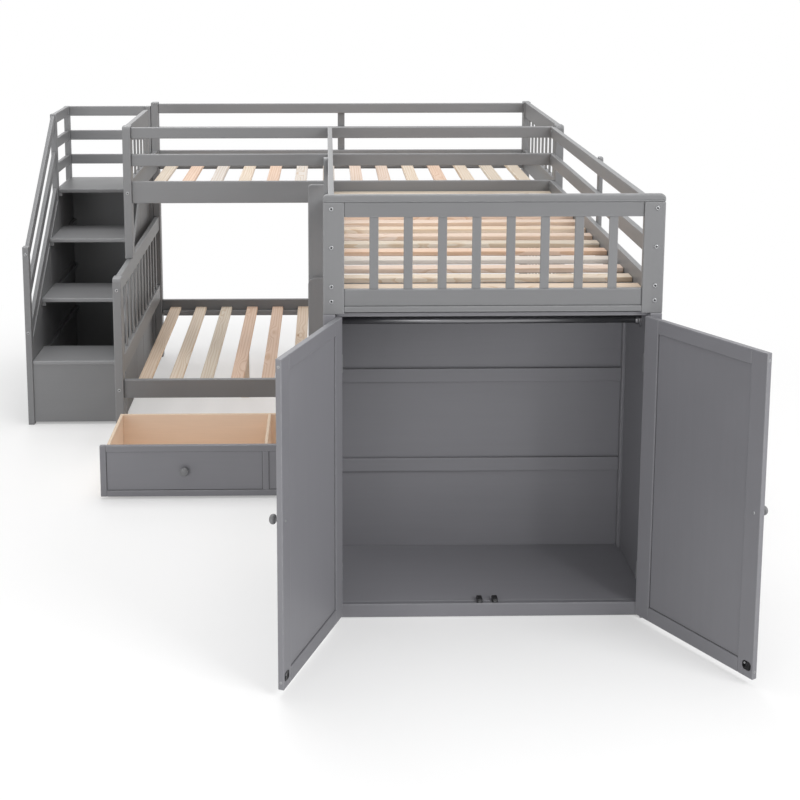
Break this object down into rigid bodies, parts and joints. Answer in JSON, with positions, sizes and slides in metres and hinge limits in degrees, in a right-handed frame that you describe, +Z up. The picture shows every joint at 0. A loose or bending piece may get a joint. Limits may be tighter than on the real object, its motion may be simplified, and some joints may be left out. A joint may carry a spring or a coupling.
{
  "type": "l shaped bunk bed",
  "caption": "L shaped bunk bed in grey paint: twin over full bunk with a twin loft at right angles over a two-door wardrobe, stairs with a landing and a wheeled drawer unit.",
  "frame": {"origin": "middle of the bounding box in plan, on the floor, with the drawer out and the doors open as in the picture", "axes": "+Z up; +X along the bunk from the stairs to its right end; +Y from the wardrobe doors to the back of the bunk"},
  "size_m": [2.6534, 3.5308, 1.398],
  "materials": {
    "grey_paint": "satin grey paint on wood",
    "pine": "bare sanded pine",
    "plywood": "bare plywood",
    "steel": "zinc plated",
    "black_plastic": "matte"
  },
  "bodies": {
    "bed": {"lower_end_posts": "grey_paint", "lower_end_rails": "grey_paint", "lower_end_spindles": "grey_paint", "stack_dowels": "steel", "upper_end_posts": "grey_paint", "upper_end_boards": "grey_paint", "upper_end_spindles": "grey_paint", "lower_bed_rails": "grey_paint", "lower_slats": "pine", "center_support": "pine", "slat_ledgers": "grey_paint", "upper_bed_rails": "grey_paint", "upper_slats": "pine", "front_guard_rails": "grey_paint", "back_guard_rails": "grey_paint", "guard_mid_posts": "grey_paint", "mid_support_lower": "grey_paint", "mid_support_upper": "grey_paint", "loft_side_rails": "grey_paint", "loft_end_rail": "grey_paint", "loft_slats": "pine", "loft_guard_rails": "grey_paint", "loft_stiles": "grey_paint", "loft_cap": "grey_paint", "loft_cross_rails": "grey_paint", "loft_balusters": "grey_paint", "stair_posts": "grey_paint", "stair_side_boards": "grey_paint", "stair_back_panel": "grey_paint", "stair_treads": "grey_paint", "stair_riser": "grey_paint", "stair_cleats": "grey_paint", "stair_guard_rails": "grey_paint", "stair_handrails": "grey_paint", "wardrobe_posts": "grey_paint", "wardrobe_side_panels": "grey_paint", "wardrobe_back_panel": "grey_paint", "wardrobe_battens": "grey_paint", "wardrobe_floor": "grey_paint", "wardrobe_bottom_rail": "grey_paint", "wardrobe_top_panel": "grey_paint", "hanging_rod": "steel", "rod_flanges": "steel", "floor_catches": "black_plastic", "hinge_post_leaves": "steel", "hinge_pins": "steel", "bed_bolts": "steel"},
    "drawer": {"drawer_front_frame": "grey_paint", "drawer_front_panels": "grey_paint", "drawer_box": "plywood", "drawer_knobs": "grey_paint", "wheel_brackets": "steel"},
    "wheels_front": {"drawer_wheels_front": "black_plastic"},
    "wheels_back": {"drawer_wheels_back": "black_plastic"},
    "door_left": {"left_door": "grey_paint", "left_door_knob": "grey_paint", "left_door_hardware": "steel"},
    "door_right": {"right_door": "grey_paint", "right_door_knob": "grey_paint", "right_door_hardware": "steel"}
  },
  "joints": [
    {"name": "drawer_slide", "type": "slide", "parent": "bed", "child": "drawer", "axis": [0, 1, 0], "range_m": [0, 0.531]},
    {"name": "wheels_front_roll", "type": "hinge", "parent": "drawer", "child": "wheels_front", "pos_m": [0.12304, -0.20044, 0.014], "axis": [1, 0, 0], "continuous": true},
    {"name": "wheels_back_roll", "type": "hinge", "parent": "drawer", "child": "wheels_back", "pos_m": [0.12304, 0.10956, 0.014], "axis": [1, 0, 0], "continuous": true},
    {"name": "left_door_hinge", "type": "hinge", "parent": "bed", "child": "door_left", "pos_m": [0.07429, -1.29914, 0.5], "axis": [0, 0, 1], "range_deg": [-59, 111]},
    {"name": "right_door_hinge", "type": "hinge", "parent": "bed", "child": "door_right", "pos_m": [1.05879, -1.29914, 0.5], "axis": [0, 0, 1], "range_deg": [-121, 49]}
  ],
  "couplings": [
    {"joint": "wheels_front_roll", "follows": "drawer_slide", "rad_per_m": -71.429},
    {"joint": "wheels_back_roll", "follows": "drawer_slide", "rad_per_m": -71.429}
  ]
}
